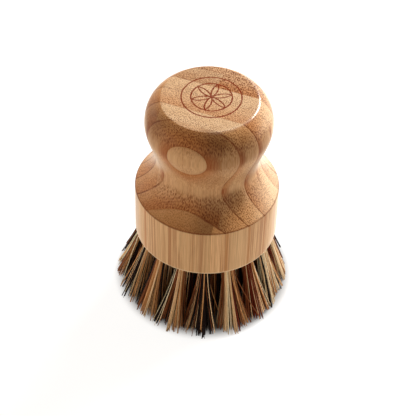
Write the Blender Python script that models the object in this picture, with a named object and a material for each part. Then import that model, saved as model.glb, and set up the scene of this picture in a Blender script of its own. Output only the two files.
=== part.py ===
"""A round hand scrub brush: a turned bamboo handle with tufts of plant fibre set in its base.

Metres, +Z up. The brush stands on its bristle tips at z = 0, with its axis on +Z.
"""

import math
import random

import bmesh
import bpy
from mathutils import Matrix, Vector
from mathutils.geometry import delaunay_2d_cdt, interpolate_bezier

# Handle: radii, and the heights of its stretches from the underside up
BASE_RADIUS = 0.0285
RIM_HEIGHT = 0.0222
FLARE_HEIGHT = 0.0142
NECK_RADIUS = 0.0201
WAIST_HEIGHT = 0.0180
KNOB_RADIUS = 0.0246
SHOULDER_HEIGHT = 0.0118
TOP_RADIUS = 0.0187
EDGE_ROUND = 0.0004

# Slopes of the outline beside its two crisp edges, down from the level
SHOULDER_SLOPE = math.radians(33)
FLARE_SLOPE = math.radians(40)

# Fullness of the outline's curves: reach of a curve's handle as a share of its stretch
SHOULDER_RUN_PULL = 0.63
SHOULDER_DROP_PULL = 0.51
KNOB_PULL = 0.32
NECK_PULL = 0.32
FLARE_RISE_PULL = 0.30
FLARE_RUN_PULL = 0.52

# Tuft holes, in three rings from the rim inwards, all drilled towards one point on the axis
RIM_WALL = 0.0030
INNER_RING_RADIUS = 0.0058
OUTER_RING_TUFTS = 16
MIDDLE_RING_TUFTS = 9
INNER_RING_TUFTS = 4
MIDDLE_RING_TURN = math.radians(10)
INNER_RING_TURN = math.radians(45)
HOLE_RADIUS = 0.0025
HOLE_DEPTH = 0.0100
DRILL_POINT_ANGLE = math.radians(118)
OUTER_TILT = math.radians(16)

# Anchors: short flats of wire that hold each folded tuft down in its hole
ANCHOR_WIDTH = 0.0018
ANCHOR_THICKNESS = 0.0005
ANCHOR_BITE = 0.0008
FOLD_THICKNESS = 0.0015

# Tufts: straight stiff strands, packed at the root and fanned out at the tips
BRISTLE_LENGTH = 0.0295
ROOT_STAND = 0.0009
FOLD_CHAMFER = 0.0009
STRAND_RADIUS = 0.00039
STRAND_TIP_RADIUS = 0.00036
STRAND_GAP = 0.00012
FAN_ALONG_RING = 2.8
FAN_ACROSS_RING = 2.1
STRAY = 0.00045
RAGGED_LENGTH = 0.0030
TRIM_DEPTH = 0.0005

FIT_GAP = 0.0003

# Facets, and the seed of the strands' scatter
HANDLE_SIDES = 60
HOLE_SIDES = 10
CURVE_POINTS = 8
EDGE_SEGMENTS = 2
CRISP_ANGLE = math.radians(25)
SEED = 7

# Looks: linear RGB, roughness, metallic
BAMBOO = ((0.560, 0.330, 0.150), 0.42, 0.0)
SISAL = ((0.560, 0.400, 0.220), 0.75, 0.0)
PALM = ((0.180, 0.085, 0.040), 0.70, 0.0)
DARK_PALM = ((0.025, 0.018, 0.014), 0.65, 0.0)
STEEL = ((0.550, 0.550, 0.540), 0.35, 1.0)

# Of every six strands three are sisal, two are brown palm and one is dark palm
FIBRES = {"sisal": SISAL, "palm": PALM, "dark_palm": DARK_PALM}
FIBRE_MIX = ("sisal", "sisal", "sisal", "palm", "palm", "dark_palm")

# Heights and fits that follow from the sizes above
RIM_TOP = BRISTLE_LENGTH + RIM_HEIGHT
NECK_LEVEL = RIM_TOP + FLARE_HEIGHT
KNOB_LEVEL = NECK_LEVEL + WAIST_HEIGHT
TOP_LEVEL = KNOB_LEVEL + SHOULDER_HEIGHT
OUTER_RING_RADIUS = BASE_RADIUS - RIM_WALL - HOLE_RADIUS
MIDDLE_RING_RADIUS = (OUTER_RING_RADIUS + INNER_RING_RADIUS) / 2
ROOT_RADIUS = HOLE_RADIUS - FIT_GAP
ROOT_DEPTH = HOLE_DEPTH - FIT_GAP
ANCHOR_LENGTH = 2 * (HOLE_RADIUS + ANCHOR_BITE)
ANCHOR_DEPTH = ROOT_DEPTH - FOLD_THICKNESS - FIT_GAP - ANCHOR_WIDTH / 2
SPLAY_HEIGHT = OUTER_RING_RADIUS / math.tan(OUTER_TILT)


def clear_scene():
    for obj in list(bpy.data.objects):
        bpy.data.objects.remove(obj, do_unlink=True)


def make_material(name, look):
    colour, roughness, metallic = look
    material = bpy.data.materials.new(name)
    material.use_nodes = True
    shader = material.node_tree.nodes["Principled BSDF"]
    shader.inputs["Base Color"].default_value = (*colour, 1.0)
    shader.inputs["Roughness"].default_value = roughness
    shader.inputs["Metallic"].default_value = metallic
    material.diffuse_color = (*colour, 1.0)
    return material


def turned(outline, sides):
    """A solid of revolution of (radius, height) points, from the top down, with flat ends filled."""
    bm = bmesh.new()
    points = [bm.verts.new((radius, 0.0, height)) for radius, height in outline]
    edges = [bm.edges.new(pair) for pair in zip(points, points[1:])]
    bmesh.ops.spin(
        bm,
        geom=points + edges,
        cent=(0.0, 0.0, 0.0),
        axis=(0.0, 0.0, 1.0),
        angle=2 * math.pi,
        steps=sides,
    )
    bmesh.ops.remove_doubles(bm, verts=bm.verts, dist=1e-6)
    open_edges = [edge for edge in bm.edges if edge.is_boundary]
    bmesh.ops.holes_fill(bm, edges=open_edges, sides=sides)
    bmesh.ops.recalc_face_normals(bm, faces=bm.faces)
    return bm


def mesh_of(name, bm):
    mesh = bpy.data.meshes.new(name)
    bm.to_mesh(mesh)
    bm.free()
    return mesh


def add_object(name, mesh, place, collection, materials=()):
    for material in materials:
        if material.name not in mesh.materials:
            mesh.materials.append(material)
    obj = bpy.data.objects.new(name, mesh)
    obj.matrix_world = place
    collection.objects.link(obj)
    return obj


def add_collection(name):
    collection = bpy.data.collections.new(name)
    bpy.context.scene.collection.children.link(collection)
    return collection


def add_cutter(name, mesh, place, collection):
    cutter = add_object(name, mesh, place, collection)
    cutter.hide_render = True
    cutter.display_type = "WIRE"
    return cutter


def cut(obj, name, cutter):
    """Takes one object, or all of a collection, out of the object."""
    modifier = obj.modifiers.new(name, "BOOLEAN")
    modifier.operation = "DIFFERENCE"
    modifier.solver = "EXACT"
    if isinstance(cutter, bpy.types.Collection):
        modifier.operand_type = "COLLECTION"
        modifier.collection = cutter
    else:
        modifier.object = cutter


def curve_points(start, start_pull, end_pull, end):
    """Points of one smooth stretch of the outline, without its last one."""
    corners = [Vector(corner).to_3d() for corner in (start, start_pull, end_pull, end)]
    return [(point.x, point.y) for point in interpolate_bezier(*corners, CURVE_POINTS)][:-1]


def handle_outline():
    """The turned outline as (radius, height) points: flat top, knob, neck, flare and upright rim."""
    shoulder_run = SHOULDER_RUN_PULL * (KNOB_RADIUS - TOP_RADIUS)
    flare_run = FLARE_RUN_PULL * (BASE_RADIUS - NECK_RADIUS)
    shoulder = curve_points(
        (TOP_RADIUS, TOP_LEVEL),
        (TOP_RADIUS + shoulder_run, TOP_LEVEL - shoulder_run * math.tan(SHOULDER_SLOPE)),
        (KNOB_RADIUS, KNOB_LEVEL + SHOULDER_DROP_PULL * SHOULDER_HEIGHT),
        (KNOB_RADIUS, KNOB_LEVEL),
    )
    waist = curve_points(
        (KNOB_RADIUS, KNOB_LEVEL),
        (KNOB_RADIUS, KNOB_LEVEL - KNOB_PULL * WAIST_HEIGHT),
        (NECK_RADIUS, NECK_LEVEL + NECK_PULL * WAIST_HEIGHT),
        (NECK_RADIUS, NECK_LEVEL),
    )
    flare = curve_points(
        (NECK_RADIUS, NECK_LEVEL),
        (NECK_RADIUS, NECK_LEVEL - FLARE_RISE_PULL * FLARE_HEIGHT),
        (BASE_RADIUS - flare_run, RIM_TOP + flare_run * math.tan(FLARE_SLOPE)),
        (BASE_RADIUS, RIM_TOP),
    )
    rim = [(BASE_RADIUS, RIM_TOP), (BASE_RADIUS, BRISTLE_LENGTH)]
    return shoulder + waist + flare + rim


def make_handle(collection, material, hole_cutters, seat_cutters):
    """The one turned block of bamboo, with its blind holes and the anchors' cuts in their walls."""
    mesh = mesh_of("handle", turned(handle_outline(), HANDLE_SIDES))
    handle = add_object("handle", mesh, Matrix.Identity(4), collection, [material])
    edges = handle.modifiers.new("crisp_edges", "BEVEL")
    edges.width = EDGE_ROUND
    edges.segments = EDGE_SEGMENTS
    edges.limit_method = "ANGLE"
    edges.angle_limit = CRISP_ANGLE
    cut(handle, "tuft_holes", hole_cutters)
    cut(handle, "anchor_cuts", seat_cutters)
    mesh.shade_smooth()
    mesh.set_sharp_from_angle(angle=CRISP_ANGLE)


def tuft_places():
    """Each hole's spot and its place: origin at the mouth, +X along the ring, +Z into the wood."""
    rings = (
        ("outer", OUTER_RING_RADIUS, OUTER_RING_TUFTS, 0.0),
        ("middle", MIDDLE_RING_RADIUS, MIDDLE_RING_TUFTS, MIDDLE_RING_TURN),
        ("inner", INNER_RING_RADIUS, INNER_RING_TUFTS, INNER_RING_TURN),
    )
    apex = Vector((0.0, 0.0, BRISTLE_LENGTH + SPLAY_HEIGHT))
    places = []
    for ring, radius, count, start in rings:
        for index in range(count):
            turn = start + 2 * math.pi * index / count
            mouth = Vector((radius * math.cos(turn), radius * math.sin(turn), BRISTLE_LENGTH))
            into_wood = (apex - mouth).normalized()
            along_ring = Vector((-math.sin(turn), math.cos(turn), 0.0))
            across_ring = into_wood.cross(along_ring)
            axes = Matrix((along_ring, across_ring, into_wood)).transposed()
            place = Matrix.Translation(mouth) @ axes.to_4x4()
            places.append((f"{ring}_{index + 1:02d}", place))
    return places


def hole_cutter_mesh():
    point_height = HOLE_RADIUS / math.tan(DRILL_POINT_ANGLE / 2)
    outline = [
        (0.0, HOLE_DEPTH + point_height),
        (HOLE_RADIUS, HOLE_DEPTH),
        (HOLE_RADIUS, -HOLE_RADIUS),
    ]
    return mesh_of("hole_cutter", turned(outline, HOLE_SIDES))


def flat_wire_mesh(name, length, thickness, width):
    """A flat of wire along X, centred at its depth in the hole."""
    bm = bmesh.new()
    size = Matrix.Diagonal((length, thickness, width, 1.0))
    bmesh.ops.create_cube(bm, size=1.0, matrix=Matrix.Translation((0.0, 0.0, ANCHOR_DEPTH)) @ size)
    return mesh_of(name, bm)


def strand_offsets():
    """Where the strands stand on a tuft's root: in rings from its edge inwards, all a pitch apart."""
    pitch = 2 * STRAND_RADIUS + STRAND_GAP
    ring = ROOT_RADIUS - STRAND_RADIUS - STRAND_GAP / 2
    offsets = []
    while ring > pitch / 2:
        count = int(math.pi / math.asin(pitch / 2 / ring))
        for index in range(count):
            turn = 2 * math.pi * index / count
            offsets.append(Vector((ring * math.cos(turn), ring * math.sin(turn))))
        ring -= pitch
    return offsets


def corners_round(centre, radius, count, turn=0.0):
    """The corners of a regular polygon, in the plane of the root's cap."""
    angles = [turn + 2 * math.pi * index / count for index in range(count)]
    return [centre + Vector((radius * math.cos(angle), radius * math.sin(angle))) for angle in angles]


def splayed(place, offset, level):
    """The point at a level that lies at this offset from the tuft's own axis."""
    drop = BRISTLE_LENGTH - level
    axis = place.translation.xy * (1 + drop / SPLAY_HEIGHT)
    sideways = place.to_3x3() @ offset.to_3d()
    return Vector((axis.x + sideways.x, axis.y + sideways.y, level))


def tuft_mesh(name, place, dice):
    """Straight strands grown from one packed root, the part of the tuft that fills its hole.

    The root's cap is one flat sheet with a three-sided face for each strand to grow from.
    """
    offsets = strand_offsets()
    cap = corners_round(Vector((0.0, 0.0)), ROOT_RADIUS, HOLE_SIDES)
    strand_faces = []
    for offset in offsets:
        strand_faces.append([len(cap), len(cap) + 1, len(cap) + 2])
        cap += corners_round(offset, STRAND_RADIUS, 3, dice.uniform(0, 2 * math.pi))
    points, _, faces, _, _, sources = delaunay_2d_cdt(cap, [], strand_faces, 0, 1e-7, True)

    bm = bmesh.new()
    verts = [bm.verts.new((point.x, point.y, -ROOT_STAND)) for point in points]
    roots = {}
    for face, source in zip(faces, sources):
        made = bm.faces.new([verts[index] for index in face])
        if source:
            roots[source[0]] = made
    grow_root(bm)
    for index, offset in enumerate(offsets):
        roots[index].material_index = list(FIBRES).index(dice.choice(FIBRE_MIX))
        grow_strand(bm, roots[index], place, offset, dice)
    bmesh.ops.recalc_face_normals(bm, faces=bm.faces)
    return mesh_of(name, bm)


def grow_root(bm):
    """The packed root, from the cap that the strands stand on up to the folded end in the hole."""
    rim = [edge for edge in bm.edges if edge.is_boundary]
    for rise, scale in (
        (ROOT_STAND + ROOT_DEPTH - FOLD_CHAMFER, 1.0),
        (FOLD_CHAMFER, 1 - FOLD_CHAMFER / ROOT_RADIUS),
    ):
        grown = bmesh.ops.extrude_edge_only(bm, edges=rim)["geom"]
        corners = [item for item in grown if isinstance(item, bmesh.types.BMVert)]
        rim = [item for item in grown if isinstance(item, bmesh.types.BMEdge)]
        bmesh.ops.scale(bm, vec=(scale, scale, 1.0), verts=corners)
        bmesh.ops.translate(bm, vec=(0.0, 0.0, rise), verts=corners)
    bmesh.ops.contextual_create(bm, geom=rim)


def grow_strand(bm, face, place, offset, dice):
    """One strand from its face on the cap to a level cut tip. The longest are trimmed at z = 0."""
    tip_level = max(0.0, RAGGED_LENGTH * dice.random() ** 2 - TRIM_DEPTH)
    stray = Vector((dice.uniform(-STRAY, STRAY), dice.uniform(-STRAY, STRAY)))
    fanned = Vector((offset.x * FAN_ALONG_RING, offset.y * FAN_ACROSS_RING)) + stray
    into_local = place.inverted()
    tip = bmesh.ops.extrude_discrete_faces(bm, faces=[face])["faces"][0]
    for vert in tip.verts:
        corner = (vert.co.xy - offset) * STRAND_TIP_RADIUS / STRAND_RADIUS
        vert.co = into_local @ splayed(place, fanned + corner, tip_level)


def main():
    clear_scene()
    parts = add_collection("scrub_brush")
    hole_cutters = add_collection("hole_cutters")
    seat_cutters = add_collection("anchor_seat_cutters")
    bamboo = make_material("bamboo", BAMBOO)
    fibres = [make_material(name, look) for name, look in FIBRES.items()]
    steel = make_material("anchor_steel", STEEL)

    hole_mesh = hole_cutter_mesh()
    anchor_mesh = flat_wire_mesh("anchor", ANCHOR_LENGTH, ANCHOR_THICKNESS, ANCHOR_WIDTH)
    seat_mesh = flat_wire_mesh(
        "anchor_seat",
        ANCHOR_LENGTH + 2 * FIT_GAP,
        ANCHOR_THICKNESS + 2 * FIT_GAP,
        ANCHOR_WIDTH + 2 * FIT_GAP,
    )
    for index, (spot, place) in enumerate(tuft_places()):
        dice = random.Random(SEED + index)
        add_cutter(f"hole_{spot}", hole_mesh, place, hole_cutters)
        seat = add_cutter(f"seat_{spot}", seat_mesh, place, seat_cutters)
        mesh = tuft_mesh(f"tuft_{spot}", place, dice)
        tuft = add_object(f"tuft_{spot}", mesh, place, parts, fibres)
        cut(tuft, "anchor_seat", seat)
        add_object(f"anchor_{spot}", anchor_mesh, place, parts, [steel])
    make_handle(parts, bamboo, hole_cutters, seat_cutters)


main()
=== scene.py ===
"""Looks of the scrub brush: laminated bamboo handle, tufts of mixed plant fibre, soft studio light."""

import math
import random

import bmesh
import bpy
from mathutils import Matrix, Vector
from mathutils.geometry import interpolate_bezier


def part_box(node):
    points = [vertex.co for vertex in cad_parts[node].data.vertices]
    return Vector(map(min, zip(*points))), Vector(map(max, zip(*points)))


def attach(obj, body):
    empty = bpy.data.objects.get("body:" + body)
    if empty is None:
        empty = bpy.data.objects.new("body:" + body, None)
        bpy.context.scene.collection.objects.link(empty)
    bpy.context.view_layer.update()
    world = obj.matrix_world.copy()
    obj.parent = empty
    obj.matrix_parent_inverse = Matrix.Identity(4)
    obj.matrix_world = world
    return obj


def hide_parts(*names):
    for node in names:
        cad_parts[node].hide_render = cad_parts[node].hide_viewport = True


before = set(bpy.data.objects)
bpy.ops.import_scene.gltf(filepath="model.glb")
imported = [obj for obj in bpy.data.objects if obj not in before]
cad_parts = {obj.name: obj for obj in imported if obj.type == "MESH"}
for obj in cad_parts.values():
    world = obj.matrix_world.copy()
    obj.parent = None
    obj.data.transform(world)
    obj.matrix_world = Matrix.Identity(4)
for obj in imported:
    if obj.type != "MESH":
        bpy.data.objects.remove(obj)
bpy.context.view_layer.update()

# The handle's outline, in metres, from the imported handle's box and the sizes it was turned to
LOW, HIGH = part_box("handle")
BASE_RADIUS = (HIGH.x - LOW.x) / 2
BRISTLE_LENGTH = LOW.z
TOP_LEVEL = HIGH.z
RIM_HEIGHT = 0.0222
FLARE_HEIGHT = 0.0142
NECK_RADIUS = 0.0201
WAIST_HEIGHT = 0.0180
KNOB_RADIUS = 0.0246
SHOULDER_HEIGHT = 0.0118
TOP_RADIUS = 0.0187
EDGE_ROUND = 0.0004
SHOULDER_SLOPE = math.radians(33)
FLARE_SLOPE = math.radians(40)
SHOULDER_RUN_PULL = 0.63
SHOULDER_DROP_PULL = 0.51
KNOB_PULL = 0.32
NECK_PULL = 0.32
FLARE_RISE_PULL = 0.30
FLARE_RUN_PULL = 0.52

RIM_TOP = BRISTLE_LENGTH + RIM_HEIGHT
NECK_LEVEL = RIM_TOP + FLARE_HEIGHT
KNOB_LEVEL = NECK_LEVEL + WAIST_HEIGHT

# How finely the handle is made: sides, points on a curve and on a round, and rings of the flat top and rim
SIDES = 192
CURVE_POINTS = 28
ROUND_STEPS = 4
TOP_RINGS = (0.0, 0.25, 0.5, 0.75, 0.92, 0.97)
RIM_RINGS = (0.8, 0.6, 0.4, 0.2)
DRILL_SIDES = 20
MERGE_DISTANCE = 1e-6
SHARP_ANGLE = math.radians(35)

# Tuft holes, all drilled towards one point on the axis, so that the outer ones tilt the most
OUTER_RADIUS = 0.0230
OUTER_TILT = math.radians(16)
SPLAY_HEIGHT = OUTER_RADIUS / math.tan(OUTER_TILT)
HOLE_RADIUS = 0.0025
HOLE_DEPTH = 0.0100

# Rings of tuft holes: name, radius, how many, and the turn of the first one
RINGS = (
    ("outer", OUTER_RADIUS, 16, 0.0),
    ("middle", 0.0144, 9, math.radians(10)),
    ("inner", 0.0058, 4, math.radians(45)),
)

# Fibres of a tuft, in metres: how many, where they stand in the hole, their thickness, and how they fan out
FIBRES_PER_TUFT = 150
SEED = 11
ROOT_RADIUS = 0.00225
ROOT_MARGIN = 0.0002
ROOT_INSIDE = 0.0030
THIN_FIBRE = (0.00012, 0.00020)
THICK_FIBRE = (0.00024, 0.00038)
FLATNESS = (0.6, 1.0)
TAPER = 0.10
TAPER_CURVE = 1.5
FAN_ALONG_RING = 3.2
FAN_ACROSS_RING = 2.9
MOST_REACH = 0.0366
STRAIGHT_SHARE = 0.35
PATH_SHARES = (0.0, 0.2, 0.42, 0.64, 0.84, 1.0)
GOLDEN_ANGLE = math.pi * (3 - math.sqrt(5))

# What differs at random: how far tufts, bands and fibres lean along and across the ring, how bands
# are drawn together, how unevenly the fibres were cut, and their shades
TUFT_LEAN = (0.0006, 0.0004)
BAND_LEAN = (0.0006, 0.0005)
TIP_SCATTER = (0.0004, 0.0003)
STRAY_SCATTER = (0.0026, 0.0012)
FIBRE_BEND = (0.00020, 0.00020)
BAND_COUNT = 7
BAND_BLUR = 0.05
BAND_PINCH = (0.55, 1.05)
BAND_CUT = (0.0, 0.0036)
UNEVEN_CUT = 0.0004
SHORT_CUT = (0.001, 0.004)
MOST_CUT = 0.007
SHADES = (0.80, 1.12)

# Share of the fibres that have their band's colour, that stray, that were cut short and that are thick,
# and how many times as thick as a thin fibre a stray one is
BAND_SHARE = 0.85
STRAY_SHARE = 0.08
SHORT_SHARE = 0.06
THICK_SHARE = 0.14
THICK_SHARE_STIFF = 0.40
STRAY_SWELL = 1.35

# Fibre colours by letter, 0 to 255, how often each comes up in a tuft, those of stiff and of stray fibres
FIBRE_COLOURS = {
    "W": (255, 234, 200),
    "C": (244, 208, 164),
    "T": (204, 149, 99),
    "P": (130, 76, 44),
    "R": (112, 42, 18),
    "D": (28, 13, 8),
}
FIBRE_SHARES = {"C": 0.28, "T": 0.18, "P": 0.18, "R": 0.06, "D": 0.30}
STIFF = "PRD"
STRAY_COLOURS = "CWTPP"

# Tufts that show in front: colours across them from left to right, how many steps of half a millimetre
# each band of fibres was cut short, and how far from the axis the longest tips reach
CUT_STEP = 0.0005
FRONT_TUFTS = {
    "outer_08": ("DPDDPDT", "0000000", 0.0366),
    "outer_09": ("CTWDPTD", "1001111", 0.0368),
    "outer_10": ("DTDCWDCT", "11243000", 0.0370),
    "outer_11": ("DDPTTCTD", "02332001", 0.0370),
    "outer_12": ("DWPDCCTP", "20640014", 0.0370),
    "outer_13": ("PCDDTDDD", "41623022", 0.0374),
    "outer_14": ("PCWCRPTP", "23001343", 0.0370),
    "outer_15": ("PRRRCTPWD", "320033322", 0.0356),
    # Painted light: the pale bands of outer_16 and outer_01 stand partly for the strong light from the right
    "outer_16": ("DWTWWWC", "0134431", 0.0344),
    "outer_01": ("RWWWWWW", "1000000", 0.0342),
    "outer_02": ("DPDDPDD", "0000000", 0.0342),
}

# The materials measure in millimetres
MM = 1000.0
UPWARD = (0.0, 0.0, 1.0)
LEVELLED = (1.0, 1.0, 0.0)

# Glue planes of the bamboo, in millimetres from the axis towards the front, the way they face,
# the thickness of a strip, and the range in which the butt joints lie
PLANES = (-30.8, -22.8, -15.0, -6.8, 0.4, 8.7, 16.4, 23.3, 31.0)
PLANE_TURN = math.radians(-19.5)
STRIP_THICKNESS = 7.6
JOINT_RANGE = 60.0

# Strips from the back: where along it the butt joint lies, in millimetres,
# then redness, level and coarseness of the bundles on each side of it
STRIPS = (
    (4.0, (0.35, 0.95, 0.6), (0.50, 0.98, 1.1)),
    (-6.0, (0.40, 0.90, 0.8), (0.25, 1.08, 1.1)),
    (0.0, (0.45, 0.88, 0.5), (0.90, 1.04, 1.1)),
    (-9.0, (0.10, 1.00, 0.1), (0.05, 1.00, 0.2)),
    (26.0, (0.55, 1.03, 0.3), (0.55, 0.95, 0.3)),
    (-15.2, (0.60, 1.00, 0.1), (0.00, 1.00, 0.1)),
    (13.0, (0.72, 0.93, 0.1), (0.15, 1.05, 0.3)),
    (11.5, (0.45, 0.89, 0.1), (0.05, 1.45, 0.1)),
)

# Bamboo grain: its slow bends, how far it is drawn out, the distance between pieces in it, and its bundles
SWAY_SCALE = (0.05, 0.05, 0.012)
GRAIN_DRAWN_OUT = 0.022
STRAIGHTENED = (1.0, 1.0, 0.20)
PIECES_APART = 90.0
PIECE_SEED = 19.0
BUNDLE_SHAPE = (1.15, 0.72, 1.0)
SMALL_DENSITY = 1.95
LARGE_DENSITY = 1.20

# How level a face is where it starts to cut across the grain, and where it does so fully
CUT_ACROSS_ABOVE = (0.02, 0.62)
CUT_ACROSS_BELOW = (-0.16, -0.80)
OFF_LEVEL = (0.99, 0.95)
SLANTED = (0.99, 0.90)

# How far above the rim's edge its look gives way to the flare's, in millimetres
RIM_BLEND = 2.0

# Bamboo colours, 0 to 255
CORE = (227, 192, 152)
SKIN = (204, 146, 98)
STREAK = (182, 122, 74)
LINE = (152, 82, 42)
BUNDLE = (98, 43, 19)
SMALL_BUNDLE = (112, 54, 25)
GLUE = (108, 50, 22)
# Painted highlight along the foot's rounded edge
FOOT_HIGHLIGHT = (250, 226, 190)
# Painted highlight on the side where the strongest lamps shine
LIT_SIDE_HIGHLIGHT = (244, 225, 192)
# Painted sheen where the surface is seen at a slant
PAINTED_SHEEN = (252, 238, 220)
BURNT = (118, 33, 6)

# What darkens the bamboo, as a factor on its colour: soft columns, upright faces, the rim, oil on slanting
# cuts together with painted shade, and painted shade in patches on the grip
COLUMN = (0.88, 0.82, 0.74, 1.0)
UPRIGHT = (0.93, 0.87, 0.80, 1.0)
RIM_TONE = (1.00, 0.965, 0.895, 1.0)
OILED_AND_SHADED = (0.86, 0.68, 0.50, 1.0)
# Painted shade on patches of the grip
PAINTED_SHADE = (0.60, 0.53, 0.46, 1.0)

# The side where the strongest lamps shine lies this way: it gets a painted highlight and less painted shade
LIT_SIDE_WAY = (0.985, 0.17, 0.0)

# Patches of painted shade on the grip, in millimetres: the middle, how far it reaches, and how strongly
PAINTED_SHADE_SPOTS = (
    ((7.0, -22.0, 87.0), 11.0, 0.65),
    ((14.5, -18.5, 88.0), 10.0, 0.85),
    ((20.5, -12.5, 86.0), 8.0, 0.65),
    ((-20.0, -9.0, 90.0), 12.5, 0.9),
    ((18.5, -13.0, 72.0), 11.0, 0.85),
    ((11.5, -18.5, 61.5), 7.0, 1.0),
    ((18.0, -10.5, 58.0), 8.5, 0.50),
    ((11.0, -17.5, 69.0), 7.0, 0.30),
)

# Burnt ornament on the knob's top, in millimetres, and its turn in degrees
ORNAMENT_AT = (0.6, 0.9, 0.0)
ORNAMENT_TURN = 12
RING_RADII = (11.4, 7.8)
PETALS = 6
PETAL_RADIUS = 7.8
THIN_LINE = 0.189
WIDE_LINE = 0.3348
FAR = 50.0

# Factors on a fibre's own colour, and the colours of steel wire
FIBRE_DARKER = (0.58, 0.48, 0.40, 1.0)
FIBRE_LIGHTER = (1.30, 1.26, 1.20, 1.0)
STEEL_DARK = (0.50, 0.50, 0.49, 1.0)
STEEL_LIGHT = (0.62, 0.62, 0.61, 1.0)
TARNISH = (0.30, 0.27, 0.23, 1.0)

# Floor and surroundings: the floor's reach in metres, its colours, its glow and where that sets in, in
# millimetres from the middle; short of that the floor beneath the brush has no glow, a painted shadow
WHITE = (1.0, 1.0, 1.0, 1.0)
FLOOR_REACH = 3.0
FLOOR = (0.80, 0.77, 0.72, 1.0)
SEEN_FLOOR = (0.30, 0.30, 0.30, 1.0)
GLOW = 0.88
PAINTED_SHADOW_EDGE, GLOW_WHOLE = 31.0, 38.5
SURROUNDINGS = (0.25, 0.205, 0.145, 1.0)

# Lamps: name, turn from the right and height over the horizon in degrees, size in metres, power and colour
PLAIN = (1.0, 1.0, 1.0)
SOFT_WARM = (1.0, 0.97, 0.91)
WARM = (1.0, 0.88, 0.70)
LAMPS = (
    ("lamp_key", 50, 38, (0.32, 0.32), 8.4, PLAIN),
    ("lamp_right", 10, 3, (0.30, 0.14), 1.5, PLAIN),
    ("lamp_right_back", 32, 6, (0.30, 0.30), 0.5, PLAIN),
    ("lamp_left", 178, 7, (1.1, 0.34), 3.4, SOFT_WARM),
    ("lamp_left_back", 140, 8, (0.40, 0.34), 0.7, PLAIN),
    ("lamp_front", 275, 8, (0.6, 0.5), 0.8, WARM),
)
LAMP_DISTANCE = 0.75
LAMP_AIM = (0.0, 0.0, 0.05)

# Camera: its distance, height over the horizon, lean, and focal length in pixels of a 416-pixel image
CAMERA_DISTANCE = 0.570
CAMERA_RISE = math.radians(44.43)
CAMERA_LEAN = math.radians(1.88)
FOCAL_PIXELS = 1442.0
AIM_PIXELS = (-0.9, 25.3)
IMAGE_PIXELS = 416
SENSOR_WIDTH = 36.0
CLIP_START, CLIP_END = 0.01, 10.0


def rgb(colour):
    """Linear colour of an sRGB one that is given as 0 to 255."""
    parts = [value / 255 for value in colour]
    return (*(p / 12.92 if p <= 0.04045 else ((p + 0.055) / 1.055) ** 2.4 for p in parts), 1.0)


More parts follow.
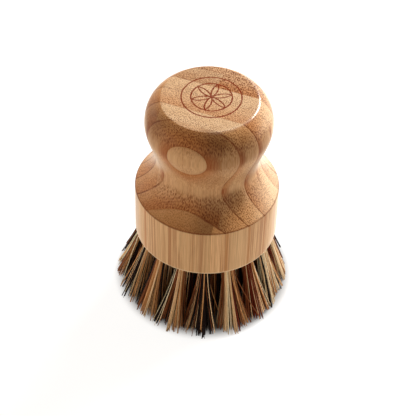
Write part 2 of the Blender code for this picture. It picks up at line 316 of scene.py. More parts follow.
class Graph:
    """The node tree of a material or of the world, with short calls that add nodes to it."""

    def __init__(self, owner, shader="Principled BSDF"):
        owner.use_nodes = True
        self.owner = owner
        self.tree = owner.node_tree
        self.shader = self.tree.nodes[shader]

    def add(self, kind, *values, **settings):
        """A node, with its settings and the values or sockets of its first inputs."""
        node = self.tree.nodes.new(kind)
        for name, value in settings.items():
            setattr(node, name, value)
        for socket, value in zip(node.inputs, values):
            self.put(socket, value)
        return node

    def put(self, socket, value):
        """Gives a socket its value, or links another node's socket to it."""
        if isinstance(value, bpy.types.NodeSocket):
            self.tree.links.new(value, socket)
        else:
            socket.default_value = value

    def shade(self, inputs):
        """Gives the shader its inputs, by their names."""
        for name, value in inputs.items():
            self.put(self.shader.inputs[name], value)

    def math(self, operation, *values):
        return self.add("ShaderNodeMath", *values, operation=operation).outputs[0]

    def times(self, value, factor):
        return self.math("MULTIPLY", value, factor)

    def dimmed(self, value, where, by):
        """The value, less the given share of it where it is to be dimmed."""
        return self.times(value, self.math("MULTIPLY_ADD", where, -by, 1.0))

    def vector(self, operation, *values):
        node = self.add("ShaderNodeVectorMath", *values, operation=operation)
        scalar = operation in ("DOT_PRODUCT", "LENGTH", "DISTANCE")
        return node.outputs[1 if scalar else 0]

    def ramp(self, value, low, high, start=0.0, end=1.0, smooth=True):
        """The value's range from low to high, as start to end, and level outside it."""
        kind = "SMOOTHSTEP" if smooth else "LINEAR"
        node = self.add("ShaderNodeMapRange", value, low, high, start, end, interpolation_type=kind)
        return node.outputs[0]

    def mix(self, share, first, second, blend="MIX"):
        node = self.add("ShaderNodeMix", data_type="RGBA", blend_type=blend)
        self.put(node.inputs[0], share)
        self.put(node.inputs[6], first)
        self.put(node.inputs[7], second)
        return node.outputs[2]

    def multiplied(self, colour, factor):
        return self.mix(1.0, colour, factor, "MULTIPLY")

    def tinted(self, share, colour, factor):
        """The colour, and that share of it multiplied by the factor."""
        return self.mix(share, colour, self.multiplied(colour, factor))

    def noise(self, place, scale, detail=2.0, roughness=0.5):
        node = self.add("ShaderNodeTexNoise")
        self.put(node.inputs["Vector"], place)
        self.put(node.inputs["Scale"], scale)
        self.put(node.inputs["Detail"], detail)
        self.put(node.inputs["Roughness"], roughness)
        return node.outputs[0]

    def dots(self, place, scale, randomness):
        """Distance to the nearest of scattered points, and that point's own random colour."""
        node = self.add("ShaderNodeTexVoronoi", voronoi_dimensions="2D")
        self.put(node.inputs["Vector"], place)
        self.put(node.inputs["Scale"], scale)
        self.put(node.inputs["Randomness"], randomness)
        return node.outputs["Distance"], node.outputs["Color"]

    def combined(self, x, y, z):
        return self.add("ShaderNodeCombineXYZ", x, y, z).outputs[0]

    def scatter(self, *numbers):
        """A random number for each set of whole numbers."""
        return self.add("ShaderNodeTexWhiteNoise", self.combined(*numbers)).outputs[0]

    def steps(self, value, colours):
        """One colour after another as the value goes from 0 to 1, without blending."""
        node = self.add("ShaderNodeValToRGB", value)
        ramp = node.color_ramp
        ramp.interpolation = "CONSTANT"
        while len(ramp.elements) < len(colours):
            ramp.elements.new(0.5)
        for index, colour in enumerate(colours):
            ramp.elements[index].position = index / len(colours)
        for element, colour in zip(ramp.elements, colours):
            element.color = (*colour, 1.0)
        return node.outputs[0]

    def bump(self, height, distance, strength):
        node = self.add("ShaderNodeBump")
        self.put(node.inputs["Strength"], strength)
        self.put(node.inputs["Distance"], distance)
        self.put(node.inputs["Height"], height)
        self.shade({"Normal": node.outputs[0]})

    def millimetres(self):
        place = self.add("ShaderNodeTexCoord").outputs["Object"]
        return self.vector("MULTIPLY", place, (MM, MM, MM))

    def seen(self):
        """1 for what the camera sees, straight or in metal or glass, and 0 for what lights the brush."""
        rays = self.add("ShaderNodeLightPath").outputs
        by_way = self.math("MAXIMUM", rays["Is Glossy Ray"], rays["Is Transmission Ray"])
        return self.math("MAXIMUM", rays["Is Camera Ray"], by_way)


class Bamboo(Graph):
    """Upright fibre bundles in glued strips, denser and redder on each strip's skin side."""

    def __init__(self):
        super().__init__(bpy.data.materials.new("bamboo_laminated"))
        along_way = (math.cos(PLANE_TURN), math.sin(PLANE_TURN), 0.0)
        across_way = (math.sin(PLANE_TURN), -math.cos(PLANE_TURN), 0.0)
        self.place = self.millimetres()
        self.along = self.vector("DOT_PRODUCT", self.place, along_way)
        self.across = self.vector("DOT_PRODUCT", self.place, across_way)
        self.height = self.vector("DOT_PRODUCT", self.place, UPWARD)
        self.levelled = self.vector("MULTIPLY", self.place, LEVELLED)
        self.profile = self.combined(self.vector("LENGTH", self.levelled), 0.0, self.height)
        self.find_cuts()
        self.find_strip()
        self.draw_grain()
        self.scatter_bundles()

    def find_cuts(self):
        """How far the surface cuts across the grain or runs along it, and what lies above the rim."""
        normal = self.add("ShaderNodeTexCoord").outputs["Normal"]
        self.tilt = self.vector("DOT_PRODUCT", normal, UPWARD)
        self.facing = self.math("ABSOLUTE", self.tilt)
        above = self.ramp(self.tilt, *CUT_ACROSS_ABOVE)
        below = self.ramp(self.tilt, *CUT_ACROSS_BELOW)
        self.cut = self.math("MAXIMUM", above, below)
        self.along_cut = self.math("SUBTRACT", 1.0, self.cut)
        self.above_rim = self.ramp(self.height, RIM_TOP * MM, RIM_TOP * MM + RIM_BLEND)

    def find_strip(self):
        """Strip number, share of the way through it, and the tones of the piece on this side of its joint.

        The joints' places are kept as shares of a range of which half lies on each side of the middle.
        """
        strip = 0.0
        for low, high in zip(PLANES, PLANES[1:]):
            strip = self.math("ADD", strip, self.ramp(self.across, low, high, smooth=False))
        self.number = self.math("FLOOR", strip)
        self.share = self.math("FRACT", strip)
        step = self.math("DIVIDE", self.math("ADD", self.number, 0.5), len(STRIPS))
        joints = self.steps(step, [(joint / JOINT_RANGE + 0.5,) * 3 for joint, _, _ in STRIPS])
        joint_at = self.math("MULTIPLY_ADD", joints, JOINT_RANGE, -JOINT_RANGE / 2)
        self.from_joint = self.math("SUBTRACT", self.along, joint_at)
        self.beyond = self.math("GREATER_THAN", self.from_joint, 0.0)
        before = self.steps(step, [tones for _, tones, _ in STRIPS])
        after = self.steps(step, [tones for _, _, tones in STRIPS])
        tones = self.mix(self.beyond, before, after)
        self.redness, self.level, self.coarseness = self.add("ShaderNodeSeparateColor", tones).outputs

    def draw_grain(self):
        """The grain's own space: drawn out along the height, bent a little, and new in each piece."""
        sway = self.noise(self.vector("MULTIPLY", self.place, SWAY_SCALE), 1.0, 1.0)
        swayed = self.math("MULTIPLY_ADD", sway, 2.0, -1.0)
        apart = self.times(self.scatter(self.number, self.beyond, PIECE_SEED), PIECES_APART)
        along = self.math("ADD", self.math("ADD", self.along, swayed), apart)
        across = self.math("ADD", self.across, self.times(swayed, 0.6))
        self.grain = self.combined(along, across, self.times(self.height, GRAIN_DRAWN_OUT))
        self.straight = self.vector("MULTIPLY", self.grain, STRAIGHTENED)
        self.streak = self.noise(self.straight, 2.6, 3.0, 0.65)

    def scatter_bundles(self):
        """Many small bundles, widest on the skin side and faint in the front strip, and large coarse ones."""
        place = self.vector("MULTIPLY", self.grain, BUNDLE_SHAPE)
        small, small_random = self.dots(place, SMALL_DENSITY, 0.75)
        large, large_random = self.dots(place, LARGE_DENSITY, 0.85)
        small_size = self.ramp(self.share, 0.0, 1.0, 0.28, 0.38, smooth=False)
        small_size = self.math("MULTIPLY_ADD", self.redness, 0.05, small_size)
        large_size = self.ramp(self.share, 0.0, 0.9, 0.04, 0.0, smooth=False)
        large_size = self.math("MULTIPLY_ADD", self.coarseness, 0.34, large_size)
        small_mark = self.ramp(self.math("SUBTRACT", small, small_size), 0.09, -0.12)
        large_mark = self.ramp(self.math("SUBTRACT", large, large_size), 0.06, -0.08)
        small_chance = self.vector("DOT_PRODUCT", small_random, (1.0, 0.0, 0.0))
        large_chance = self.vector("DOT_PRODUCT", large_random, (0.0, 1.0, 0.0))
        small_mark = self.times(small_mark, self.ramp(small_chance, 0.1, 0.9, 0.50, 1.0))
        self.small_mark = self.times(small_mark, self.ramp(self.number, 6.2, 6.8, 1.0, 0.55))
        self.large_mark = self.times(large_mark, self.ramp(large_chance, 0.1, 0.9, 0.40, 1.0))
        self.marks = self.math("MAXIMUM", self.small_mark, self.large_mark)

    def ground(self):
        """Cuts across the grain show each piece's own redness, cuts along it mostly the skin side's."""
        skin_side = self.ramp(self.share, 0.05, 0.95)
        own_redness = self.times(self.redness, self.ramp(skin_side, 0.0, 1.0, 0.45, 1.15))
        wide_skin = self.times(self.above_rim, self.ramp(self.share, 0.60, 1.0, 0.0, 0.8))
        side_redness = self.math("MAXIMUM", wide_skin, self.ramp(self.share, 0.86, 0.90, 0.0, 0.7))
        own_part = self.ramp(self.above_rim, 0.0, 1.0, 0.10, 0.30)
        side_redness = self.math("MULTIPLY_ADD", self.redness, own_part, side_redness)
        across = self.times(own_redness, self.cut)
        along = self.times(side_redness, self.along_cut)
        redness = self.math("MINIMUM", self.math("ADD", across, along), 1.0)
        return self.mix(redness, rgb(CORE), rgb(SKIN))

    def crease(self, scale, middle, low, high, strongest):
        """Thin lines where a noise passes its middle."""
        noise = self.noise(self.straight, scale, 1.0)
        from_middle = self.math("ABSOLUTE", self.math("SUBTRACT", noise, middle))
        return self.ramp(from_middle, low, high, 0.0, strongest)

    def with_grain(self, colour):
        """Streaks and thin straight lines, the skin side's band, and broad soft columns."""
        busy = self.ramp(self.noise(self.straight, 0.12, 1.0), 0.40, 0.60, 0.45, 1.0)
        strong = self.times(busy, self.math("MULTIPLY_ADD", self.along_cut, 0.65, 0.10))
        streak_part = self.times(strong, self.ramp(self.above_rim, 0.0, 1.0, 0.40, 0.60))
        streaks = self.times(self.ramp(self.streak, 0.45, 0.66), streak_part)
        colour = self.mix(streaks, colour, rgb(STREAK))
        wide = self.crease(0.62, 0.5, 0.030, 0.018, 1.0)
        thin = self.crease(1.6, 0.47, 0.052, 0.032, 0.8)
        on_rim = self.ramp(self.height, RIM_TOP * MM + RIM_BLEND, RIM_TOP * MM, 0.40, 0.85)
        lines = self.times(self.math("MAXIMUM", wide, thin), self.times(strong, on_rim))
        colour = self.mix(lines, colour, rgb(LINE))
        band_part = self.times(self.along_cut, self.math("MULTIPLY_ADD", self.above_rim, 0.75, 0.05))
        skin_band = self.times(self.ramp(self.share, 0.60, 0.94), band_part)
        skin_band = self.times(skin_band, self.ramp(self.streak, 0.36, 0.58, 0.35, 1.0))
        skin_band = self.times(skin_band, self.ramp(self.tilt, -0.24, -0.06, 0.15, 1.0))
        colour = self.mix(skin_band, colour, rgb(LINE))
        column = self.ramp(self.noise(self.straight, 0.38, 1.0), 0.38, 0.62)
        column = self.times(column, self.ramp(self.above_rim, 0.0, 1.0, 0.20, 0.35))
        return self.tinted(column, colour, COLUMN)

    def with_bundles(self, colour):
        """The bundles' dark ends, plainest on cuts across the grain and fainter on the left."""
        calm = self.times(self.ramp(self.along, -6.0, -18.0), self.ramp(self.facing, *OFF_LEVEL))
        shown = self.dimmed(self.ramp(self.cut, 0.0, 0.6, 0.12, 0.90), calm, 0.40)
        colour = self.mix(self.times(self.small_mark, shown), colour, rgb(SMALL_BUNDLE))
        return self.mix(self.times(self.large_mark, shown), colour, rgb(BUNDLE))

    def with_levels(self, colour):
        """Deeper upright faces, each piece's own level, painted shade on part of the front, and fine specks.
        """
        colour = self.tinted(self.along_cut, colour, self.mix(self.above_rim, RIM_TONE, UPRIGHT))
        side_level = self.math("MAXIMUM", self.times(self.level, 0.8), 1.0)
        level = self.math("MULTIPLY_ADD", self.level, self.cut, self.times(self.along_cut, side_level))
        # Painted shadow: the knob's shadow on a stretch of the front's cuts
        painted_front_shadow = self.times(self.ramp(self.along, 1.0, 9.0), self.ramp(self.across, 15.0, 17.0))
        painted_front_shadow = self.times(painted_front_shadow, self.ramp(self.along, 19.0, 12.0))
        level = self.dimmed(level, self.times(painted_front_shadow, self.cut), 0.30)
        colour = self.multiplied(colour, self.combined(level, level, level))
        specks = self.ramp(self.noise(self.grain, 5.0), 0.38, 0.72, 0.0, 0.20)
        return self.mix(specks, colour, rgb(BUNDLE))

    def with_oil_shade_and_highlight(self, colour):
        """Oil and painted shade on slanting cuts, less round the neck; painted highlight on the lit side."""
        lit_side = self.vector("DOT_PRODUCT", self.place, LIT_SIDE_WAY)
        slanting = self.ramp(self.facing, *SLANTED)
        soaked_and_shaded = self.times(self.cut, slanting)
        # Less of the oil and painted shade towards the lit right side, where light falls
        soaked_and_shaded = self.times(soaked_and_shaded, self.ramp(lit_side, 9.0, 23.5, 1.0, 0.30))
        round_neck = self.times(self.ramp(self.height, 56.0, 61.0), self.ramp(self.height, 75.0, 68.0))
        colour = self.tinted(self.dimmed(soaked_and_shaded, round_neck, 0.35), colour, OILED_AND_SHADED)
        # Painted highlight on the slanting cuts of the lit right side
        lit_highlight = self.times(slanting, self.ramp(self.cut, 0.0, 1.0, 0.25, 1.0))
        lit_highlight = self.times(lit_highlight, self.ramp(lit_side, 11.5, 30.5, 0.0, 0.42))
        return self.mix(lit_highlight, colour, rgb(LIT_SIDE_HIGHLIGHT))

    def with_painted_sheen(self, colour):
        """A pale painted sheen where the surface is seen at a slant."""
        slant = self.add("ShaderNodeLayerWeight", 0.5).outputs["Facing"]
        return self.mix(self.ramp(slant, 0.67, 0.97, 0.0, 0.44), colour, rgb(PAINTED_SHEEN))

    def with_painted_shade(self, colour):
        """Patches of painted shade on the grip, fading off level faces."""
        painted_shade = 0.0
        for middle, reach, strength in PAINTED_SHADE_SPOTS:
            distance = self.vector("DISTANCE", self.place, middle)
            spot = self.ramp(distance, reach, reach * 0.25, 0.0, strength)
            painted_shade = self.math("MAXIMUM", painted_shade, spot)
        return self.tinted(self.times(painted_shade, self.ramp(self.facing, 0.92, 0.65)), colour, PAINTED_SHADE)

    def lines(self):
        """Glue lines between strips, plainest on slanting cuts, and the fainter butt joints."""
        to_nearest = self.math("MINIMUM", self.share, self.math("SUBTRACT", 1.0, self.share))
        from_plane = self.times(to_nearest, STRIP_THICKNESS)
        plain = self.ramp(self.math("ABSOLUTE", self.along), 1.0, 8.0, 0.30, 1.0)
        front_left = self.times(self.ramp(self.across, 20.0, 21.0), self.ramp(self.along, 8.0, 0.0))
        plain = self.dimmed(plain, front_left, 0.75)
        plain = self.times(plain, self.ramp(self.noise(self.place, 0.25, 1.0), 0.38, 0.62, 0.65, 1.0))
        right_side = self.times(self.ramp(self.along, 10.0, 18.0), self.ramp(self.across, 6.0, 3.0))
        right_side = self.times(right_side, self.ramp(self.across, -16.0, -10.0))
        plain = self.dimmed(plain, right_side, 0.72)
        plain = self.times(plain, self.ramp(self.facing, 0.05, 0.5, 0.12, 0.85))
        glue = self.times(self.ramp(from_plane, 0.38, 0.10), plain)
        glue = self.times(glue, self.ramp(self.facing, *OFF_LEVEL, 0.25, 1.0))
        joint = self.ramp(self.math("ABSOLUTE", self.from_joint), 0.18, 0.06)
        joint = self.times(joint, self.ramp(self.facing, 0.05, 0.5, 0.05, 0.18))
        return self.math("MAXIMUM", glue, joint)

    def from_edge(self, radius, level):
        """Distance from a turned edge."""
        return self.vector("DISTANCE", self.profile, (radius, 0.0, level))

    def with_edges(self, colour):
        """Sanding left the rim's upper edge darker; the foot's rounded edge gets a painted highlight."""
        rim_edge = self.from_edge(BASE_RADIUS * MM - 0.1, RIM_TOP * MM + 0.1)
        colour = self.mix(self.ramp(rim_edge, 0.60, 0.10, 0.0, 0.55), colour, rgb(GLUE))
        foot = BRISTLE_LENGTH * MM
        # Painted highlight along the foot's rounded edge
        return self.mix(self.ramp(self.height, foot + 0.9, foot + 0.3, 0.0, 0.6), colour, rgb(FOOT_HIGHLIGHT))

    def ornament(self):
        """Burnt lines on the top: two rings round six petals, drawn with arcs of one radius."""
        place = self.vector("SUBTRACT", self.levelled, ORNAMENT_AT)
        from_centre = self.vector("LENGTH", place)
        nearest = FAR
        for ring in RING_RADII:
            from_ring = self.math("ABSOLUTE", self.math("SUBTRACT", from_centre, ring))
            nearest = self.math("MINIMUM", nearest, from_ring)
        outside = self.ramp(from_centre, PETAL_RADIUS, PETAL_RADIUS + 0.1, 0.0, FAR)
        for petal in range(PETALS):
            angle = math.radians(360 / PETALS * petal + ORNAMENT_TURN)
            centre = (PETAL_RADIUS * math.cos(angle), PETAL_RADIUS * math.sin(angle), 0.0)
            from_arc = self.math("SUBTRACT", self.vector("DISTANCE", place, centre), PETAL_RADIUS)
            from_arc = self.math("ADD", self.math("ABSOLUTE", from_arc), outside)
            nearest = self.math("MINIMUM", nearest, from_arc)
        width = self.ramp(self.noise(self.place, 2.2), 0.3, 0.7, THIN_LINE, WIDE_LINE)
        burnt = self.ramp(self.math("SUBTRACT", nearest, width), 0.12, -0.06)
        return self.times(burnt, self.ramp(self.height, TOP_LEVEL * MM - 0.4, TOP_LEVEL * MM - 0.2))

    def burnished(self):
        """The polish that hands gave the right of the top's edge."""
        top_edge = self.from_edge(TOP_RADIUS * MM, TOP_LEVEL * MM)
        return self.times(self.ramp(top_edge, 1.1, 0.5), self.ramp(self.along, 4.0, 10.0, 0.0, 0.94))


def bamboo_material():
    """Laminated bamboo, as layers from the bare wood up to the burnt ornament."""
    g = Bamboo()
    colour = g.with_grain(g.ground())
    colour = g.with_bundles(colour)
    colour = g.with_levels(colour)
    colour = g.with_oil_shade_and_highlight(colour)
    colour = g.with_painted_sheen(colour)
    colour = g.with_painted_shade(colour)
    lines = g.lines()
    colour = g.mix(lines, colour, rgb(GLUE))
    colour = g.with_edges(colour)
    burnt = g.ornament()
    depth = g.ramp(g.noise(g.place, 0.9), 0.35, 0.65, 0.78, 1.0)
    dull = g.ramp(g.marks, 0.0, 1.0, 0.36, 0.48)
    g.shade({
        "Base Color": g.mix(g.times(burnt, depth), colour, rgb(BURNT)),
        "Roughness": g.math("ADD", dull, g.times(burnt, 0.25)),
        "Specular IOR Level": 0.05,
        "Coat Weight": g.math("ADD", g.burnished(), 0.02),
        "Coat Roughness": 0.17,
        "Sheen Weight": 0.24,
        "Sheen Roughness": 0.16,
    })
    relief = g.math("MULTIPLY_ADD", g.marks, -0.35, g.times(g.streak, 0.5))
    relief = g.math("SUBTRACT", relief, g.times(g.math("MAXIMUM", burnt, lines), 1.6))
    g.bump(relief, 0.00003, 0.6)
    return g.owner


def fibre_material():
    """Dry plant fibre: each fibre's own colour, with fine lengthwise streaks and darker tips."""
    g = Graph(bpy.data.materials.new("plant_fibre_mixed"))
    place = g.millimetres()
    height = g.vector("DOT_PRODUCT", place, UPWARD)
    own = g.add("ShaderNodeAttribute", attribute_name="fibre_colour").outputs["Color"]
    darker = g.multiplied(own, FIBRE_DARKER)
    lighter = g.multiplied(own, FIBRE_LIGHTER)
    streak = g.noise(g.vector("MULTIPLY", place, (1.0, 1.0, 0.12)), 4.5)
    colour = g.mix(g.ramp(streak, 0.50, 0.72, 0.0, 0.50), own, darker)
    colour = g.mix(g.ramp(g.noise(place, 0.9), 0.50, 0.75, 0.0, 0.45), colour, lighter)
    colour = g.mix(g.ramp(height, 5.0, 0.0, 0.0, 0.30), colour, darker)
    roughness = g.ramp(streak, 0.3, 0.7, 0.45, 0.65)
    g.shade({"Base Color": colour, "Roughness": roughness, "Specular IOR Level": 0.08})
    g.bump(streak, 0.00004, 0.5)
    return g.owner


def steel_material():
    """Drawn wire: faint marks along its length and slight tarnish."""
    g = Graph(bpy.data.materials.new("anchor_steel_drawn"))
    place = g.millimetres()
    marks = g.noise(g.vector("MULTIPLY", place, (1.0, 1.0, 6.0)), 3.0, 3.0)
    tarnish = g.ramp(g.noise(place, 0.6), 0.5, 0.8, 0.0, 0.4)
    colour = g.mix(tarnish, g.mix(marks, STEEL_DARK, STEEL_LIGHT), TARNISH)
    g.shade({"Base Color": colour, "Metallic": 1.0, "Roughness": g.ramp(marks, 0.3, 0.7, 0.28, 0.42)})
    return g.owner


def curve_points(start, start_pull, end_pull, end):
    """Points of a smooth curve of the outline, without its last one."""
    corners = [Vector(corner).to_3d() for corner in (start, start_pull, end_pull, end)]
    return [(point.x, point.y) for point in interpolate_bezier(*corners, CURVE_POINTS)][:-1]


def rounded(before, corner, after):
    """Points of a small round in place of a corner of the outline."""
    before, corner, after = Vector(before), Vector(corner), Vector(after)
    start = corner + (before - corner).normalized() * EDGE_ROUND
    end = corner + (after - corner).normalized() * EDGE_ROUND
    points = []
    for step in range(ROUND_STEPS + 1):
        t = step / ROUND_STEPS
        point = start * (1 - t) ** 2 + corner * 2 * t * (1 - t) + end * t**2
        points.append((point.x, point.y))
    return points


def handle_outline():
    """The turned outline as (radius, height) points from the top's centre to the underside's."""
    knob = (KNOB_RADIUS, KNOB_LEVEL)
    neck = (NECK_RADIUS, NECK_LEVEL)
    rim_corner = (BASE_RADIUS, RIM_TOP)
    foot_corner = (BASE_RADIUS, BRISTLE_LENGTH)
    foot_centre = (0.0, BRISTLE_LENGTH)
    shoulder_run = SHOULDER_RUN_PULL * (KNOB_RADIUS - TOP_RADIUS)
    flare_run = FLARE_RUN_PULL * (BASE_RADIUS - NECK_RADIUS)
    shoulder = curve_points(
        (TOP_RADIUS, TOP_LEVEL),
        (TOP_RADIUS + shoulder_run, TOP_LEVEL - shoulder_run * math.tan(SHOULDER_SLOPE)),
        (KNOB_RADIUS, KNOB_LEVEL + SHOULDER_DROP_PULL * SHOULDER_HEIGHT),
        knob,
    )
    waist = curve_points(
        knob,
        (KNOB_RADIUS, KNOB_LEVEL - KNOB_PULL * WAIST_HEIGHT),
        (NECK_RADIUS, NECK_LEVEL + NECK_PULL * WAIST_HEIGHT),
        neck,
    )
    flare = curve_points(
        neck,
        (NECK_RADIUS, NECK_LEVEL - FLARE_RISE_PULL * FLARE_HEIGHT),
        (BASE_RADIUS - flare_run, RIM_TOP + flare_run * math.tan(FLARE_SLOPE)),
        rim_corner,
    )
    top = [(TOP_RADIUS * share, TOP_LEVEL) for share in TOP_RINGS]
    top += rounded(top[-1], shoulder[0], shoulder[1])
    rim = rounded(flare[-1], rim_corner, foot_corner)
    rim += [(BASE_RADIUS, BRISTLE_LENGTH + RIM_HEIGHT * share) for share in RIM_RINGS]
    foot = rounded(rim_corner, foot_corner, foot_centre) + [foot_centre]
    return top + shoulder[1:] + waist + flare[:-1] + rim + foot


def turned(outline):
    """A closed mesh from an outline turned round the axis."""
    bm = bmesh.new()
    points = [bm.verts.new((radius, 0.0, height)) for radius, height in outline]
    edges = [bm.edges.new(pair) for pair in zip(points, points[1:])]
    bmesh.ops.spin(bm, geom=points + edges, cent=(0, 0, 0), axis=UPWARD, angle=2 * math.pi, steps=SIDES)
    bmesh.ops.remove_doubles(bm, verts=bm.verts, dist=MERGE_DISTANCE)
    bmesh.ops.recalc_face_normals(bm, faces=bm.faces)
    return bm


def show(name, bm, materials=()):
    """Makes the mesh an object of the scene."""
    mesh = bpy.data.meshes.new(name)
    bm.to_mesh(mesh)
    bm.free()
    for material in materials:
        mesh.materials.append(material)
    obj = bpy.data.objects.new(name, mesh)
    bpy.context.scene.collection.objects.link(obj)
    return obj


def tuft_places():
    """Each tuft's spot and its place: origin at the hole's mouth, +X along the ring, +Z into the wood."""
    apex = Vector((0.0, 0.0, BRISTLE_LENGTH + SPLAY_HEIGHT))
    places = []
    for ring, radius, count, start in RINGS:
        for index in range(count):
            turn = start + 2 * math.pi * index / count
            mouth = Vector((radius * math.cos(turn), radius * math.sin(turn), BRISTLE_LENGTH))
            into_wood = (apex - mouth).normalized()
            along_ring = Vector((-math.sin(turn), math.cos(turn), 0.0))
            across_ring = into_wood.cross(along_ring)
            axes = Matrix((along_ring, across_ring, into_wood)).transposed()
            places.append((f"{ring}_{index + 1:02d}", Matrix.Translation(mouth) @ axes.to_4x4()))
    return places


def make_drills(places):
    """What the drill takes out of the wood: a rod in each tuft's place, which starts below the underside."""
    drills = bmesh.new()
    for _, place in places:
        middle = place @ Matrix.Translation((0.0, 0.0, HOLE_DEPTH / 2 - HOLE_RADIUS))
        bmesh.ops.create_cone(
            drills,
            cap_ends=True,
            segments=DRILL_SIDES,
            radius1=HOLE_RADIUS,
            radius2=HOLE_RADIUS,
            depth=HOLE_DEPTH + 2 * HOLE_RADIUS,
            matrix=middle,
        )
    return show("drills", drills)


def make_handle(material, places):
    """The turned block, with the tuft holes drilled into its underside."""
    handle = show("handle_bamboo", turned(handle_outline()), [material])
    drills = make_drills(places)
    holes = handle.modifiers.new("tuft_holes", "BOOLEAN")
    holes.operation = "DIFFERENCE"
    holes.solver = "EXACT"
    holes.object = drills
    bpy.context.view_layer.objects.active = handle
    bpy.ops.object.modifier_apply(modifier=holes.name)
    bpy.data.objects.remove(drills)
    handle.data.shade_smooth()
    handle.data.set_sharp_from_angle(angle=SHARP_ANGLE)
    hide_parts("handle")
    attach(handle, "root")


def pick_colour(dice):
    return dice.choices(list(FIBRE_SHARES), list(FIBRE_SHARES.values()))[0]


def scattered(dice, spread):
    """A random step along and across the ring."""
    return Vector((dice.gauss(0, spread[0]), dice.gauss(0, spread[1])))


def fibre_path(place, offset, tip, tip_level, bend, most_reach):
    """Points down one fibre: out of the hole in line, then fanning out in a slight curve to its tip."""
    mouth = place.translation
    drop = BRISTLE_LENGTH - tip_level
    axis_tip = mouth.xy * (1 + drop / SPLAY_HEIGHT)
    along, across = place.to_3x3().col[0], place.to_3x3().col[1]
    shift = along * tip.x + across * tip.y
    end = Vector((axis_tip.x + shift.x, axis_tip.y + shift.y, tip_level))
    reach = end.xy.length
    if reach > most_reach:
        end.x *= most_reach / reach
        end.y *= most_reach / reach
    root = place @ Vector((offset.x, offset.y, 0.0))
    inside = place @ Vector((offset.x, offset.y, ROOT_INSIDE))
    leave = root + (root - inside).normalized() * drop * STRAIGHT_SHARE
    points = [inside]
    side = Vector((bend.x, bend.y, 0.0))
    for t in PATH_SHARES:
        point = root * (1 - t) ** 2 + leave * 2 * t * (1 - t) + end * t**2
        point += side * math.sin(math.pi * t) * t
        points.append(point)
    return points


def add_fibre(bm, layer, points, radius, flatness, turn, colour):
    """A tapering fibre of four sides round its points, cut level where it would pass the ground."""
    rings = []
    count = len(points)
    for index, point in enumerate(points):
        ahead = points[min(index + 1, count - 1)] - points[max(index - 1, 0)]
        ahead.normalize()
        side = ahead.cross(Vector((math.cos(turn), math.sin(turn), 0.15))).normalized()
        other = ahead.cross(side)
        size = radius * (1 - TAPER * (index / (count - 1)) ** TAPER_CURVE)
        ring = [
            bm.verts.new(point + (side * math.cos(a) + other * math.sin(a) * flatness) * size)
            for a in (0.0, math.pi / 2, math.pi, 3 * math.pi / 2)
        ]
        rings.append(ring)
    for ring, following in zip(rings, rings[1:]):
        for corner in range(4):
            after = (corner + 1) % 4
            bm.faces.new((ring[corner], ring[after], following[after], following[corner]))
    bm.faces.new(rings[-1])
    bm.faces.new(reversed(rings[0]))
    for ring in rings:
        for vert in ring:
            vert[layer] = colour
            vert.co.z = max(vert.co.z, 0.0)


def tuft_bands(spot, dice):
    """A tuft's bands, each with its colour, cut, pinch and lean, and how far the tuft's tips may reach."""
    random_colours = "".join(pick_colour(dice) for _ in range(BAND_COUNT))
    colours, steps_cut, most_reach = FRONT_TUFTS.get(spot, (random_colours, None, MOST_REACH))
    cuts = [dice.uniform(*BAND_CUT) for _ in colours]
    if steps_cut:
        cuts = [int(steps) * CUT_STEP for steps in steps_cut]
    pinches = [dice.uniform(*BAND_PINCH) for _ in colours]
    whole = scattered(dice, TUFT_LEAN)
    leans = [whole + scattered(dice, BAND_LEAN) for _ in colours]
    return list(zip(colours, cuts, pinches, leans)), most_reach


def grow_fibre(bm, layer, place, offset, bands, most_reach, dice):
    """One fibre at its offset in the hole: its band's colour, lean and cut, each a little off at random."""
    across = (offset.x / ROOT_RADIUS + 1) / 2 + dice.gauss(0, BAND_BLUR)
    number = min(max(int(across * len(bands)), 0), len(bands) - 1)
    band_letter, band_cut, pinch, lean = bands[number]
    letter = band_letter if dice.random() < BAND_SHARE else pick_colour(dice)
    middle = ((number + 0.5) / len(bands) * 2 - 1) * ROOT_RADIUS
    pinched = middle + (offset.x - middle) * pinch
    tip = Vector((pinched * FAN_ALONG_RING, offset.y * FAN_ACROSS_RING)) + lean
    tip += scattered(dice, TIP_SCATTER)
    stray = dice.random() < STRAY_SHARE
    if stray:
        tip += scattered(dice, STRAY_SCATTER)
        letter = dice.choice(STRAY_COLOURS)
    level = band_cut + dice.gauss(0, UNEVEN_CUT) - UNEVEN_CUT
    if dice.random() < SHORT_SHARE:
        level += dice.uniform(*SHORT_CUT)
    level = min(max(0.0, level), MOST_CUT)
    bend = scattered(dice, FIBRE_BEND)
    shade = dice.uniform(*SHADES)
    own = tuple(min(value * shade, 1.0) for value in rgb(FIBRE_COLOURS[letter])[:3]) + (1.0,)
    thick = dice.random() < (THICK_SHARE_STIFF if letter in STIFF else THICK_SHARE)
    radius = dice.uniform(*(THICK_FIBRE if thick and not stray else THIN_FIBRE))
    if stray:
        radius *= STRAY_SWELL
    reach = most_reach - band_cut - abs(dice.gauss(0, UNEVEN_CUT))
    points = fibre_path(place, offset, tip, level, bend, reach)
    add_fibre(bm, layer, points, radius, dice.uniform(*FLATNESS), dice.uniform(0, math.pi), own)


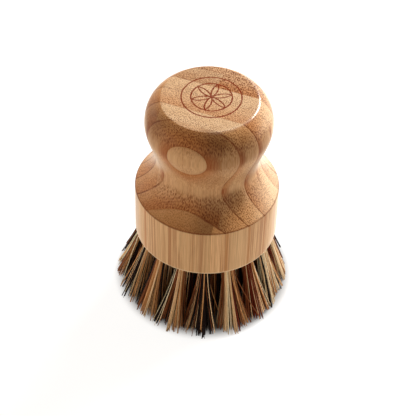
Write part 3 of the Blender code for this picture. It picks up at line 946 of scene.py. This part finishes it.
def make_tuft(spot, place, material, dice):
    """One tuft: straight fibres that fill their hole and fan out, in bands of like colour."""
    bm = bmesh.new()
    layer = bm.verts.layers.float_color.new("fibre_colour")
    bands, most_reach = tuft_bands(spot, dice)
    turn = dice.uniform(0, 2 * math.pi)
    for index in range(FIBRES_PER_TUFT):
        distance = (ROOT_RADIUS - ROOT_MARGIN) * math.sqrt((index + 0.5) / FIBRES_PER_TUFT)
        angle = turn + GOLDEN_ANGLE * index
        offset = Vector((distance * math.cos(angle), distance * math.sin(angle)))
        grow_fibre(bm, layer, place, offset, bands, most_reach, dice)
    tuft = show(f"fibres_{spot}", bm, [material])
    tuft.data.shade_smooth()
    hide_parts(f"tuft_{spot}")
    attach(tuft, "root")


def finish_anchors(material, places):
    """Gives each tuft's wire anchor its steel."""
    for spot, _ in places:
        for material_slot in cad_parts[f"anchor_{spot}"].material_slots:
            material_slot.material = material


def make_stage():
    """A wide pale floor, white to the camera, that keeps the brush's shadow; beneath it a painted shadow."""
    bm = bmesh.new()
    bmesh.ops.create_grid(bm, x_segments=1, y_segments=1, size=FLOOR_REACH)
    g = Graph(bpy.data.materials.new("stage_white"))
    g.tree.nodes.remove(g.shader)
    distance = g.vector("LENGTH", g.millimetres())
    # No glow beneath the brush: a painted shadow
    strength = g.ramp(distance, PAINTED_SHADOW_EDGE, GLOW_WHOLE, 0.0, GLOW)
    glow = g.add("ShaderNodeEmission", WHITE, strength).outputs[0]
    floor = g.add("ShaderNodeBsdfDiffuse", FLOOR).outputs[0]
    shadowed = g.add("ShaderNodeBsdfDiffuse", SEEN_FLOOR).outputs[0]
    seen_floor = g.add("ShaderNodeAddShader", shadowed, glow).outputs[0]
    both = g.add("ShaderNodeMixShader", g.seen(), floor, seen_floor).outputs[0]
    g.put(g.tree.nodes["Material Output"].inputs["Surface"], both)
    stage = show("stage_floor", bm, [g.owner])


def make_world():
    """Soft surroundings: white to the camera, and a dim even light for the brush."""
    world = bpy.data.worlds.new("studio")
    bpy.context.scene.world = world
    g = Graph(world, "Background")
    g.shade({"Color": g.mix(g.seen(), SURROUNDINGS, WHITE)})


def make_lamps():
    """Soft lamps all round, each facing the brush."""
    aim = Vector(LAMP_AIM)
    for name, turn, rise, size, power, colour in LAMPS:
        light = bpy.data.lights.new(name, "AREA")
        light.shape = "RECTANGLE"
        light.size, light.size_y = size
        light.energy = power
        light.color = colour
        turn, rise = math.radians(turn), math.radians(rise)
        way = Vector((math.cos(rise) * math.cos(turn), math.cos(rise) * math.sin(turn), math.sin(rise)))
        at = aim + way * LAMP_DISTANCE
        lamp = bpy.data.objects.new(name, light)
        lamp.location = at
        lamp.rotation_euler = (aim - at).to_track_quat("-Z", "Y").to_euler()
        bpy.context.scene.collection.objects.link(lamp)


def make_camera():
    """The camera stands in front and above, leans a little, and looks past the rim's centre."""
    camera = bpy.data.objects.new("camera", bpy.data.cameras.new("camera"))
    camera.data.sensor_width = SENSOR_WIDTH
    camera.data.lens = FOCAL_PIXELS / IMAGE_PIXELS * SENSOR_WIDTH
    camera.data.clip_start = CLIP_START
    camera.data.clip_end = CLIP_END
    back = Vector((0.0, -math.cos(CAMERA_RISE), math.sin(CAMERA_RISE)))
    across = Vector((1.0, 0.0, 0.0))
    upward = back.cross(across)
    right = across * math.cos(CAMERA_LEAN) + upward * math.sin(CAMERA_LEAN)
    up = upward * math.cos(CAMERA_LEAN) - across * math.sin(CAMERA_LEAN)
    centre = Vector((0.0, 0.0, RIM_TOP))
    pitch = math.atan(AIM_PIXELS[1] / FOCAL_PIXELS)
    yaw = math.atan(-AIM_PIXELS[0] / FOCAL_PIXELS)
    turned_back = back * math.cos(pitch) + up * math.sin(pitch)
    turned_up = up * math.cos(pitch) - back * math.sin(pitch)
    final_back = turned_back * math.cos(yaw) - right * math.sin(yaw)
    final_right = right * math.cos(yaw) + turned_back * math.sin(yaw)
    axes = Matrix((final_right, turned_up, final_back)).transposed()
    camera.matrix_world = Matrix.Translation(centre + back * CAMERA_DISTANCE) @ axes.to_4x4()
    bpy.context.scene.collection.objects.link(camera)
    bpy.context.scene.camera = camera


places = tuft_places()
make_camera()
make_stage()
make_world()
make_lamps()
make_handle(bamboo_material(), places)
fibres = fibre_material()
for number, (spot, place) in enumerate(places):
    make_tuft(spot, place, fibres, random.Random(SEED + number))
finish_anchors(steel_material(), places)
bpy.context.scene.view_settings.view_transform = "Standard"
